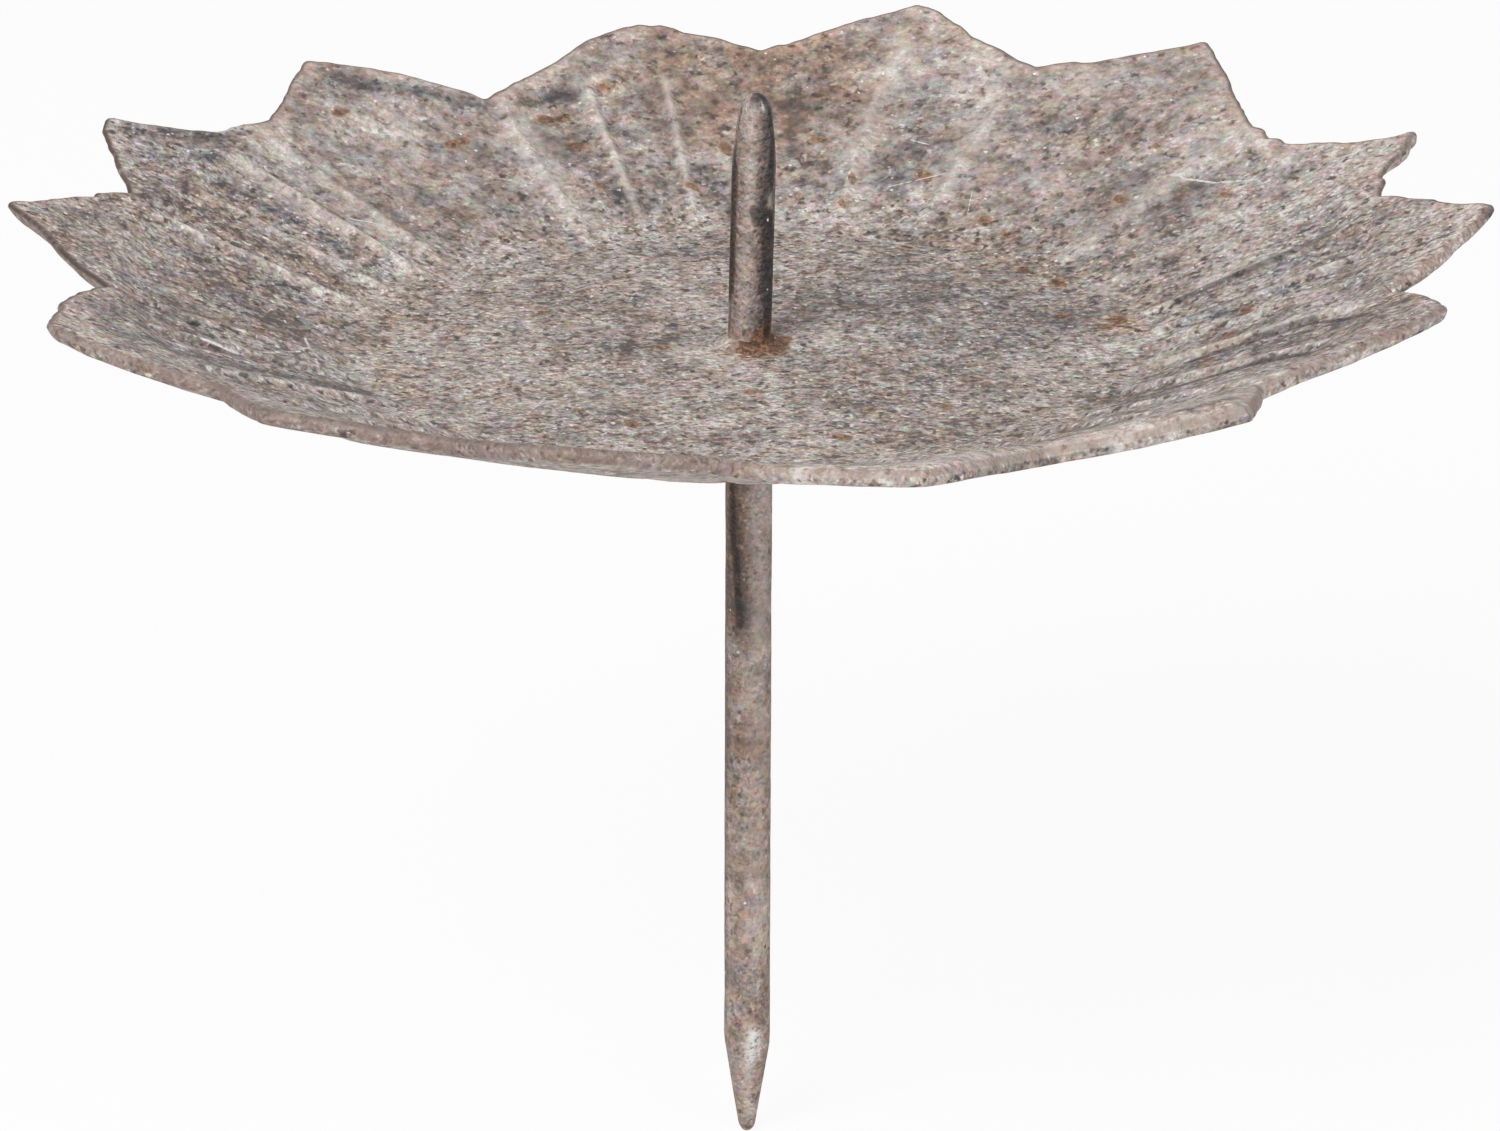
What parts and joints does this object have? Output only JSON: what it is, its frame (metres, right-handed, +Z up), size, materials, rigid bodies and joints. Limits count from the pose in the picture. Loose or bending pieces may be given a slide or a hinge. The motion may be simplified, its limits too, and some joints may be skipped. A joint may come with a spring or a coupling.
{
  "type": "pricket candle pick",
  "caption": "Small weathered iron candle pick: a shallow fluted pan with a star-cut rim, a blunt pricket above for a candle and a pointed stake below to push into a base.",
  "frame": {"origin": "centre of the pan's floor, on its upper face, where the pricket meets it", "axes": "+Z up, along the pricket; +X out through a point of the star; the camera side of the picture is -Y"},
  "size_m": [0.1001, 0.0982, 0.0753],
  "materials": {
    "washed_sheet": "grey-beige limewash over dark iron sheet, speckled, with rust spots and worn dark edges",
    "washed_wire": "pinkish grey-beige wash over iron wire, mottled, with dark bare patches",
    "rusty_weld": "rust-brown weld bead with traces of the wash"
  },
  "bodies": {
    "root": {"pan": "washed_sheet", "pricket": "washed_wire", "stake": "washed_wire", "pricket_weld": "rusty_weld", "stake_weld": "rusty_weld"}
  },
  "joints": []
}
